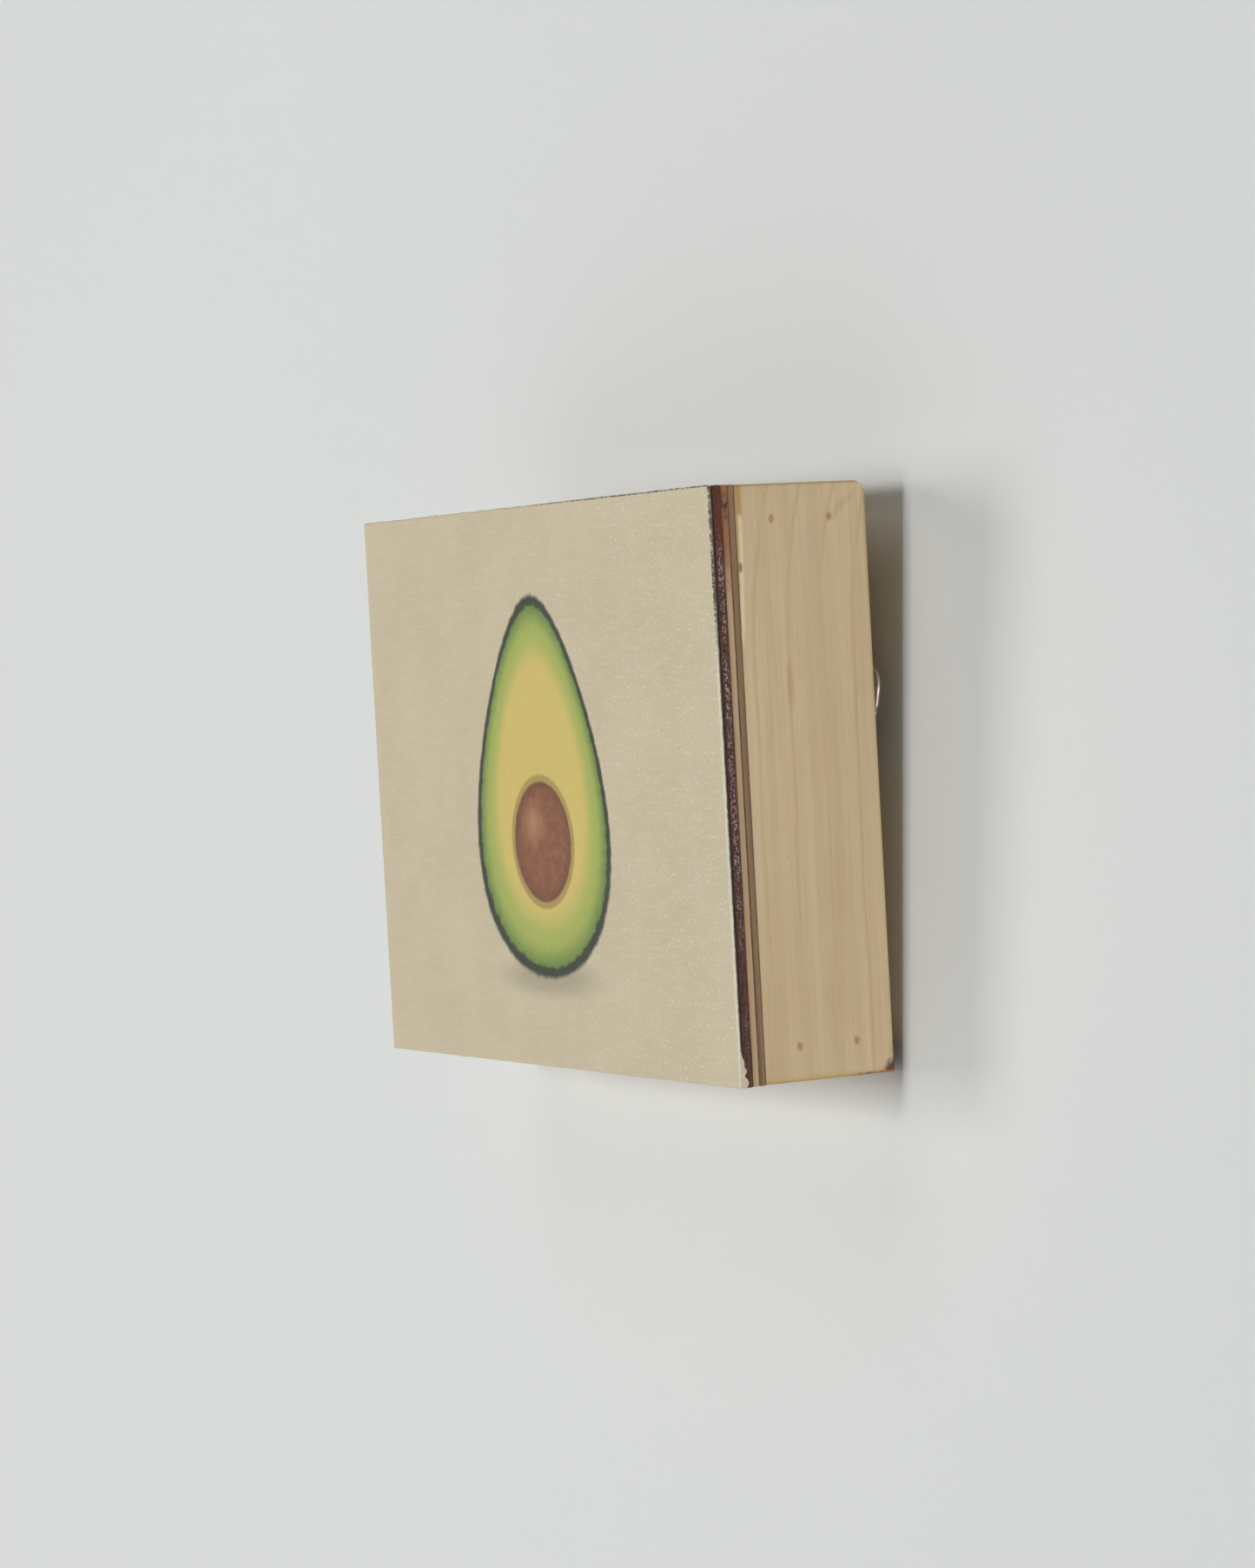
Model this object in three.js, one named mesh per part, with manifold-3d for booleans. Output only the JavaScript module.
// A small painted wood panel on a cradle, with two ring hangers on its back.
// Millimetres, +Z up. The picture faces -Y and the wall is on the +Y side. Y = 0 is the cradle's
// back, and the origin is midway between the two rings, at the height where they hang.

import * as THREE from "three";
import { mergeVertices } from "three/addons/utils/BufferGeometryUtils.js";
import Module from "manifold-3d";

const wasm = await Module();
wasm.setup();

// ---- Driving sizes ----------------------------------------------------------------------------

const PICTURE_WIDTH = 203.2; // an 8 x 6 inch panel
const PICTURE_HEIGHT = 152.4;

// The laminated front, from the picture back to the cradle
const PAINT_THICKNESS = 0.5;
const GROUND_THICKNESS = 0.6;
const FACE_VENEER_THICKNESS = 2.6;
const CORE_VENEER_THICKNESS = 1.6;
const VENEER_GLUE_THICKNESS = 0.3;
const BACK_VENEER_THICKNESS = 1.5;
const CRADLE_GLUE_THICKNESS = 0.25;
const SHEET_GAP = 0.02; // between one sheet and the next
const GROUND_INSET = 0.15; // the paint overhangs the ground coat all round

// The cradle: four strips of sawn wood on edge
const STRIP_THICKNESS = 19;
const STRIP_DEPTH = 38.5;
const SIDE_EDGE_RADIUS = 0.8; // the sanded edges round the back
const TOP_EDGE_RADIUS = 3.4;
const BOTTOM_EDGE_RADIUS = 0.6;
const BUTT_GAP = 0.05; // between a rail's end and the stile
const ARC_STEPS = 5; // facets in a quarter round

// Brads, two at each corner, set below the surface and filled
const BRAD_DIAMETER = 1.2;
const BRAD_HEAD_DIAMETER = 1.8;
const BRAD_HEAD_THICKNESS = 0.8;
const BRAD_LENGTH = 32;
const BRAD_POINT_LENGTH = 2.4;
const BRAD_SET_DEPTH = 1.8; // from the stile's outside to the head
const BRAD_FROM_END = 9; // from the panel's top or bottom
const BRAD_DEPTHS = { front: 10.5, rear: 27.5 }; // from the strips' front edge
const DRIVEN_GAP = 0.3; // around a driven brad, plug or screw
const BRAD_SIDES = 10;

// Ring hangers
const RING_WIRE_DIAMETER = 1.4;
const RING_HALF_WIDTH = 6.2; // to the wire's centre
const RING_LENGTH = 12; // from the bar to the top of the bow, wire centres
const RING_CORNER_RADIUS = 2;
const RING_LEAN = 10; // degrees from the cradle's back towards the wall
const RING_STEPS = 56;
const RING_WIRE_SIDES = 8;
const STRAP_METAL = 0.8; // one leaf; the strap is folded double
const STRAP_WIDTH = 8;
const STRAP_LENGTH = 16; // below the ring's bar
const PIVOT_GAP = 0.3; // between the bar and the fold around it
const PIVOT_ABOVE_MIDDLE = 16.6; // height of the bar above the panel's middle
const HANGER_FROM_SIDE = 9.5; // from the panel's side to the strap's centre line
const FOLD_STEPS = 18;

// Hanger screws
const SCREW_DIAMETER = 2.6;
const SCREW_LENGTH = 12;
const SCREW_POINT_LENGTH = 3;
const SCREW_HEAD_DIAMETER = 5.6;
const SCREW_HEAD_HEIGHT = 1.7;
const SCREW_BELOW_PIVOT = 8;
const SLOT_WIDTH = 0.8;
const SLOT_DEPTH = 0.7;
const SCREW_SIDES = 20;

// ---- Sizes worked out from them ---------------------------------------------------------------

const OVERCUT = 1; // how far a cutter runs past the face it opens
const STILE_FROM_MIDDLE = PICTURE_WIDTH / 2 - STRIP_THICKNESS / 2;
const RAIL_FROM_MIDDLE = PICTURE_HEIGHT / 2 - STRIP_THICKNESS / 2;
const RAIL_LENGTH = PICTURE_WIDTH - 2 * STRIP_THICKNESS - 2 * BUTT_GAP;

const WIRE_RADIUS = RING_WIRE_DIAMETER / 2;
const FOLD_INSIDE = WIRE_RADIUS + PIVOT_GAP;
const FOLD_OUTSIDE = FOLD_INSIDE + STRAP_METAL;
const STRAP_THICKNESS = 2 * STRAP_METAL;
const PIVOT_DEPTH = SHEET_GAP + FOLD_OUTSIDE; // the bar's distance from the cradle's back
const RING_LEAN_RADIANS = THREE.MathUtils.degToRad(RING_LEAN);
const HOOK_ABOVE_MIDDLE =
  PIVOT_ABOVE_MIDDLE + (RING_LENGTH - WIRE_RADIUS) * Math.cos(RING_LEAN_RADIANS);

// ---- Finishes ---------------------------------------------------------------------------------

function finish(color, roughness, metalness = 0) {
  return new THREE.MeshStandardMaterial({ color, roughness, metalness });
}

const paintFinish = () => finish(0xcabfa3, 0.55);
const groundFinish = () => finish(0x29200f, 0.4);
const redBrownFinish = () => finish(0x68452f, 0.25);
const lightPlyFinish = () => finish(0xb7a081, 0.8);
const brownPlyFinish = () => finish(0x88694a, 0.8);
const glueFinish = () => finish(0x695032, 0.6);
const cradleFinish = () => finish(0xc0a882, 0.7);
const fillerFinish = () => finish(0xb98a55, 0.8);
const bradFinish = () => finish(0x8c8c8c, 0.4, 1);
const nickelFinish = () => finish(0xc9bfba, 0.3, 1);

// ---- Solids: joining and cutting --------------------------------------------------------------

function toSolid(geometry) {
  const bare = geometry.clone();
  bare.deleteAttribute("normal");
  bare.deleteAttribute("uv");
  const merged = mergeVertices(bare, 1e-5);
  return new wasm.Manifold(
    new wasm.Mesh({
      numProp: 3,
      vertProperties: new Float32Array(merged.attributes.position.array),
      triVerts: new Uint32Array(merged.index.array),
    }),
  );
}

function toGeometry(solid) {
  const mesh = solid.getMesh();
  const geometry = new THREE.BufferGeometry();
  geometry.setAttribute("position", new THREE.BufferAttribute(mesh.vertProperties, 3));
  geometry.setIndex(new THREE.BufferAttribute(mesh.triVerts, 1));
  geometry.computeVertexNormals();
  return geometry;
}

// A rectangle from the origin's corner, with chosen corners rounded
function roundedOutline(width, height, radii) {
  const [lowLeft, lowRight, highRight, highLeft] = radii;
  const shape = new THREE.Shape();
  shape.moveTo(lowLeft, 0);
  shape.lineTo(width - lowRight, 0);
  if (lowRight) shape.absarc(width - lowRight, lowRight, lowRight, -Math.PI / 2, 0);
  shape.lineTo(width, height - highRight);
  if (highRight) shape.absarc(width - highRight, height - highRight, highRight, 0, Math.PI / 2);
  shape.lineTo(highLeft, height);
  if (highLeft) shape.absarc(highLeft, height - highLeft, highLeft, Math.PI / 2, Math.PI);
  shape.lineTo(0, lowLeft);
  if (lowLeft) shape.absarc(lowLeft, lowLeft, lowLeft, Math.PI, 1.5 * Math.PI);
  return shape;
}

function extrude(shape, depth, curveSegments = ARC_STEPS) {
  return new THREE.ExtrudeGeometry(shape, { depth, bevelEnabled: false, curveSegments });
}

// An outline drawn in Y and Z, run along X and centred on it
function runAlongX(shape, length, curveSegments = ARC_STEPS) {
  return extrude(shape, length, curveSegments)
    .rotateY(Math.PI / 2)
    .rotateX(Math.PI / 2)
    .translate(-length / 2, 0, 0);
}

// A rod along X from the origin
function rodAlongX(diameter, length) {
  return new THREE.CylinderGeometry(diameter / 2, diameter / 2, length, BRAD_SIDES)
    .rotateZ(-Math.PI / 2)
    .translate(length / 2, 0, 0);
}

// ---- The scene graph --------------------------------------------------------------------------

const paintedPanel = new THREE.Group();
const panelMiddle = new THREE.Group();
panelMiddle.position.z = -HOOK_ABOVE_MIDDLE;
paintedPanel.add(panelMiddle);

function addMesh(parent, name, geometry, material) {
  const mesh = new THREE.Mesh(geometry, material);
  mesh.name = name;
  parent.add(mesh);
  return mesh;
}

// ---- The laminated front ----------------------------------------------------------------------

// Laid from the cradle forwards, each sheet a gap in front of the one behind it. The last value is
// the width of a sheet that only runs round the edge: the cradle's glue is just under its strips.
const sheets = [
  ["cradle_glue_line", CRADLE_GLUE_THICKNESS, GROUND_INSET, glueFinish(), STRIP_THICKNESS],
  ["back_veneer", BACK_VENEER_THICKNESS, 0, brownPlyFinish()],
  ["veneer_glue_line", VENEER_GLUE_THICKNESS, GROUND_INSET, glueFinish()],
  ["core_veneer", CORE_VENEER_THICKNESS, 0, lightPlyFinish()],
  ["face_veneer", FACE_VENEER_THICKNESS, 0, redBrownFinish()],
  ["dark_ground_coat", GROUND_THICKNESS, GROUND_INSET, groundFinish()],
  ["painted_picture", PAINT_THICKNESS, 0, paintFinish()],
];

// An upright rectangular ring, centred, with its inside a strip's width from the panel's edge
function edgeBand(width, thickness, height, inset, band) {
  const ring = roundedOutline(width, height, [0, 0, 0, 0]);
  const hole = new THREE.Path();
  const margin = band - inset;
  hole.moveTo(margin, margin);
  hole.lineTo(margin, height - margin);
  hole.lineTo(width - margin, height - margin);
  hole.lineTo(width - margin, margin);
  hole.closePath();
  ring.holes.push(hole);
  return extrude(ring, thickness)
    .translate(-width / 2, -height / 2, -thickness / 2)
    .rotateX(Math.PI / 2);
}

function addLaminatedFront() {
  let back = -STRIP_DEPTH;
  for (const [name, thickness, inset, material, band] of sheets) {
    back -= SHEET_GAP;
    const width = PICTURE_WIDTH - 2 * inset;
    const height = PICTURE_HEIGHT - 2 * inset;
    const shape = band
      ? edgeBand(width, thickness, height, inset, band)
      : new THREE.BoxGeometry(width, thickness, height);
    const sheet = addMesh(panelMiddle, name, shape, material);
    sheet.position.y = back - thickness / 2;
    back -= thickness;
  }
}

// ---- The cradle -------------------------------------------------------------------------------

// The hole that one brad and its filler need, along +X from the stile's outside
function bradHole() {
  const toHead = BRAD_SET_DEPTH + BRAD_HEAD_THICKNESS + DRIVEN_GAP;
  const toPoint = BRAD_SET_DEPTH + BRAD_LENGTH + DRIVEN_GAP;
  const bore = (diameter, depth) =>
    toSolid(rodAlongX(diameter + 2 * DRIVEN_GAP, depth + OVERCUT).translate(-OVERCUT, 0, 0));
  return bore(BRAD_HEAD_DIAMETER, toHead).add(bore(BRAD_DIAMETER, toPoint));
}

// Every brad's place in one side's own frame: X runs inwards from the stile's outside
const bradPlaces = [];
for (const [end, side] of [["top", 1], ["bottom", -1]]) {
  for (const [row, depth] of Object.entries(BRAD_DEPTHS)) {
    bradPlaces.push({
      label: `${end}_${row}`,
      y: -STRIP_DEPTH + depth,
      z: side * (PICTURE_HEIGHT / 2 - BRAD_FROM_END),
    });
  }
}

function bradHolesFrom(outsideX) {
  const hole = bradHole();
  return bradPlaces.map((place) => hole.translate([outsideX, place.y, place.z]));
}

// The pilot hole for a hanger's screw, down -Y from the cradle's back
function screwHole() {
  const length = OVERCUT + SCREW_LENGTH + DRIVEN_GAP;
  const radius = SCREW_DIAMETER / 2 + DRIVEN_GAP;
  return toSolid(
    new THREE.CylinderGeometry(radius, radius, length, SCREW_SIDES).translate(0, OVERCUT - length / 2, 0),
  );
}

// The left stile in its own frame, with X = 0 on its outside face
function leftStile() {
  const planOutline = roundedOutline(STRIP_THICKNESS, STRIP_DEPTH, [0, 0, 0, SIDE_EDGE_RADIUS]);
  const plan = extrude(planOutline, PICTURE_HEIGHT).translate(0, -STRIP_DEPTH, -PICTURE_HEIGHT / 2);
  const ends = [0, BOTTOM_EDGE_RADIUS, TOP_EDGE_RADIUS, 0];
  const side = runAlongX(roundedOutline(STRIP_DEPTH, PICTURE_HEIGHT, ends), STRIP_THICKNESS)
    .translate(STRIP_THICKNESS / 2, -STRIP_DEPTH, -PICTURE_HEIGHT / 2);
  let stile = toSolid(plan).intersect(toSolid(side));
  for (const hole of bradHolesFrom(0)) stile = stile.subtract(hole);
  const screwZ = PIVOT_ABOVE_MIDDLE - SCREW_BELOW_PIVOT;
  return stile.subtract(screwHole().translate([HANGER_FROM_SIDE, 0, screwZ]));
}

// The top rail about the panel's middle, drilled from both ends. Mirrored, it is the bottom rail.
function topRail(outerEdgeRadius) {
  const outline = roundedOutline(STRIP_DEPTH, STRIP_THICKNESS, [0, 0, outerEdgeRadius, 0]);
  let rail = toSolid(
    runAlongX(outline, RAIL_LENGTH).translate(0, -STRIP_DEPTH, RAIL_FROM_MIDDLE - STRIP_THICKNESS / 2),
  );
  const holes = bradHolesFrom(-PICTURE_WIDTH / 2);
  for (const hole of holes) rail = rail.subtract(hole).subtract(hole.mirror([1, 0, 0]));
  return rail;
}

function addCradle() {
  const stile = leftStile();
  const outside = [-PICTURE_WIDTH / 2, 0, 0];
  addMesh(panelMiddle, "left_stile", toGeometry(stile.translate(outside)), cradleFinish());
  const rightStile = stile.translate(outside).mirror([1, 0, 0]);
  addMesh(panelMiddle, "right_stile", toGeometry(rightStile), cradleFinish());
  addMesh(panelMiddle, "top_rail", toGeometry(topRail(TOP_EDGE_RADIUS)), cradleFinish());
  const bottomRail = topRail(BOTTOM_EDGE_RADIUS).mirror([0, 0, 1]);
  addMesh(panelMiddle, "bottom_rail", toGeometry(bottomRail), cradleFinish());
}

// ---- Brads and filler -------------------------------------------------------------------------

// A turned profile is drawn as radius and height, and turned to run along +X
function turnedAlongX(profile, sides) {
  const points = profile.map(([radius, along]) => new THREE.Vector2(radius, along));
  return new THREE.LatheGeometry(points, sides).rotateZ(-Math.PI / 2);
}

function bradGeometry() {
  const shank = BRAD_DIAMETER / 2;
  const head = BRAD_HEAD_DIAMETER / 2;
  return turnedAlongX(
    [
      [0, BRAD_SET_DEPTH],
      [head, BRAD_SET_DEPTH],
      [head, BRAD_SET_DEPTH + BRAD_HEAD_THICKNESS],
      [shank, BRAD_SET_DEPTH + BRAD_HEAD_THICKNESS],
      [shank, BRAD_SET_DEPTH + BRAD_LENGTH - BRAD_POINT_LENGTH],
      [0, BRAD_SET_DEPTH + BRAD_LENGTH],
    ],
    BRAD_SIDES,
  );
}

function addBrads() {
  const fillerLength = BRAD_SET_DEPTH - DRIVEN_GAP;
  for (const side of ["left", "right"]) {
    const group = new THREE.Group();
    group.position.x = side === "left" ? -PICTURE_WIDTH / 2 : PICTURE_WIDTH / 2;
    if (side === "right") group.rotation.z = Math.PI;
    panelMiddle.add(group);
    const depthSign = side === "left" ? 1 : -1; // a half turn about Z swaps Y
    for (const place of bradPlaces) {
      const brad = addMesh(group, `brad_${side}_${place.label}`, bradGeometry(), bradFinish());
      const plug = rodAlongX(BRAD_HEAD_DIAMETER, fillerLength);
      const filler = addMesh(group, `brad_filler_${side}_${place.label}`, plug, fillerFinish());
      for (const mesh of [brad, filler]) mesh.position.set(0, depthSign * place.y, place.z);
    }
  }
}

// ---- Ring hangers -----------------------------------------------------------------------------

// The ring's centre line in X and Z: a bar, two small corners, two legs and a half-round bow
class RingPath extends THREE.Curve {
  constructor() {
    super();
    const leg = RING_LENGTH - RING_HALF_WIDTH - RING_CORNER_RADIUS;
    const bar = 2 * (RING_HALF_WIDTH - RING_CORNER_RADIUS);
    const corner = (Math.PI / 2) * RING_CORNER_RADIUS;
    const bow = Math.PI * RING_HALF_WIDTH;
    this.stretches = [bar, corner, leg, bow, leg, corner];
    this.total = this.stretches.reduce((sum, length) => sum + length, 0);
  }

  getPoint(t, target = new THREE.Vector3()) {
    let along = (t % 1) * this.total;
    let stretch = 0;
    while (stretch < 5 && along > this.stretches[stretch]) {
      along -= this.stretches[stretch];
      stretch += 1;
    }
    const w = RING_HALF_WIDTH;
    const r = RING_CORNER_RADIUS;
    const bowHeight = RING_LENGTH - w;
    if (stretch === 0) return target.set(-w + r + along, 0, 0);
    if (stretch === 1) return target.set(w - r + r * Math.sin(along / r), 0, r - r * Math.cos(along / r));
    if (stretch === 2) return target.set(w, 0, r + along);
    if (stretch === 3) return target.set(w * Math.cos(along / w), 0, bowHeight + w * Math.sin(along / w));
    if (stretch === 4) return target.set(-w, 0, bowHeight - along);
    return target.set(-w + r - r * Math.cos(along / r), 0, r - r * Math.sin(along / r));
  }
}

// The folded strap from the side (Y out from the wood, Z up, the bar at Z = 0), then its plan
function strapSolid() {
  const outline = new THREE.Shape();
  const meet = Math.acos((PIVOT_DEPTH - SHEET_GAP - STRAP_THICKNESS) / FOLD_OUTSIDE);
  outline.moveTo(SHEET_GAP, -STRAP_LENGTH);
  outline.lineTo(SHEET_GAP + STRAP_THICKNESS, -STRAP_LENGTH);
  outline.absarc(PIVOT_DEPTH, 0, FOLD_OUTSIDE, -Math.PI + meet, Math.PI);
  outline.lineTo(SHEET_GAP, -STRAP_LENGTH);
  const eye = new THREE.Path();
  eye.absarc(PIVOT_DEPTH, 0, FOLD_INSIDE, 0, 2 * Math.PI, true);
  outline.holes.push(eye);
  const side = runAlongX(outline, STRAP_WIDTH, FOLD_STEPS);

  const height = STRAP_LENGTH + FOLD_OUTSIDE + OVERCUT;
  const round = STRAP_WIDTH / 2;
  const tongue = roundedOutline(STRAP_WIDTH, height, [round, round, 0, 0]);
  const plan = runAlongX(tongue, 2 * PIVOT_DEPTH + OVERCUT)
    .rotateZ(Math.PI / 2)
    .translate(STRAP_WIDTH / 2, PIVOT_DEPTH, -STRAP_LENGTH);

  const holeLength = STRAP_THICKNESS + 2 * OVERCUT;
  const holeRadius = SCREW_DIAMETER / 2 + DRIVEN_GAP;
  const screwPassage = new THREE.CylinderGeometry(holeRadius, holeRadius, holeLength, SCREW_SIDES)
    .translate(0, STRAP_THICKNESS / 2, -SCREW_BELOW_PIVOT);
  return toSolid(side).intersect(toSolid(plan)).subtract(toSolid(screwPassage));
}

// A round-headed slotted screw driven down -Y, its head on the strap
function screwSolid() {
  const seat = SHEET_GAP + STRAP_THICKNESS + SHEET_GAP;
  const tip = -SCREW_LENGTH;
  const profile = [
    new THREE.Vector2(0, tip),
    new THREE.Vector2(SCREW_DIAMETER / 2, tip + SCREW_POINT_LENGTH),
    new THREE.Vector2(SCREW_DIAMETER / 2, seat),
  ];
  for (let step = 0; step <= ARC_STEPS; step += 1) {
    const angle = (Math.PI / 2) * (step / ARC_STEPS);
    const radius = step === ARC_STEPS ? 0 : (SCREW_HEAD_DIAMETER / 2) * Math.cos(angle);
    profile.push(new THREE.Vector2(radius, seat + SCREW_HEAD_HEIGHT * Math.sin(angle)));
  }
  const body = toSolid(new THREE.LatheGeometry(profile, SCREW_SIDES));
  const slot = new THREE.BoxGeometry(SCREW_HEAD_DIAMETER + OVERCUT, SLOT_DEPTH + OVERCUT, SLOT_WIDTH)
    .translate(0, seat + SCREW_HEAD_HEIGHT - SLOT_DEPTH + (SLOT_DEPTH + OVERCUT) / 2, 0);
  return body.subtract(toSolid(slot));
}

function addHangers() {
  const ring = new THREE.TubeGeometry(new RingPath(), RING_STEPS, WIRE_RADIUS, RING_WIRE_SIDES, true);
  const strap = toGeometry(strapSolid());
  const screw = toGeometry(screwSolid());
  for (const [side, sign] of [["left", -1], ["right", 1]]) {
    const hanger = new THREE.Group();
    hanger.position.set(sign * (PICTURE_WIDTH / 2 - HANGER_FROM_SIDE), 0, PIVOT_ABOVE_MIDDLE);
    panelMiddle.add(hanger);
    addMesh(hanger, `ring_strap_${side}`, strap, nickelFinish());
    const leaningRing = addMesh(hanger, `d_ring_${side}`, ring, nickelFinish());
    leaningRing.position.y = PIVOT_DEPTH;
    leaningRing.rotation.x = -RING_LEAN_RADIANS;
    const strapScrew = addMesh(hanger, `strap_screw_${side}`, screw, nickelFinish());
    strapScrew.position.z = -SCREW_BELOW_PIVOT;
  }
}

addLaminatedFront();
addCradle();
addBrads();
addHangers();

export default paintedPanel;
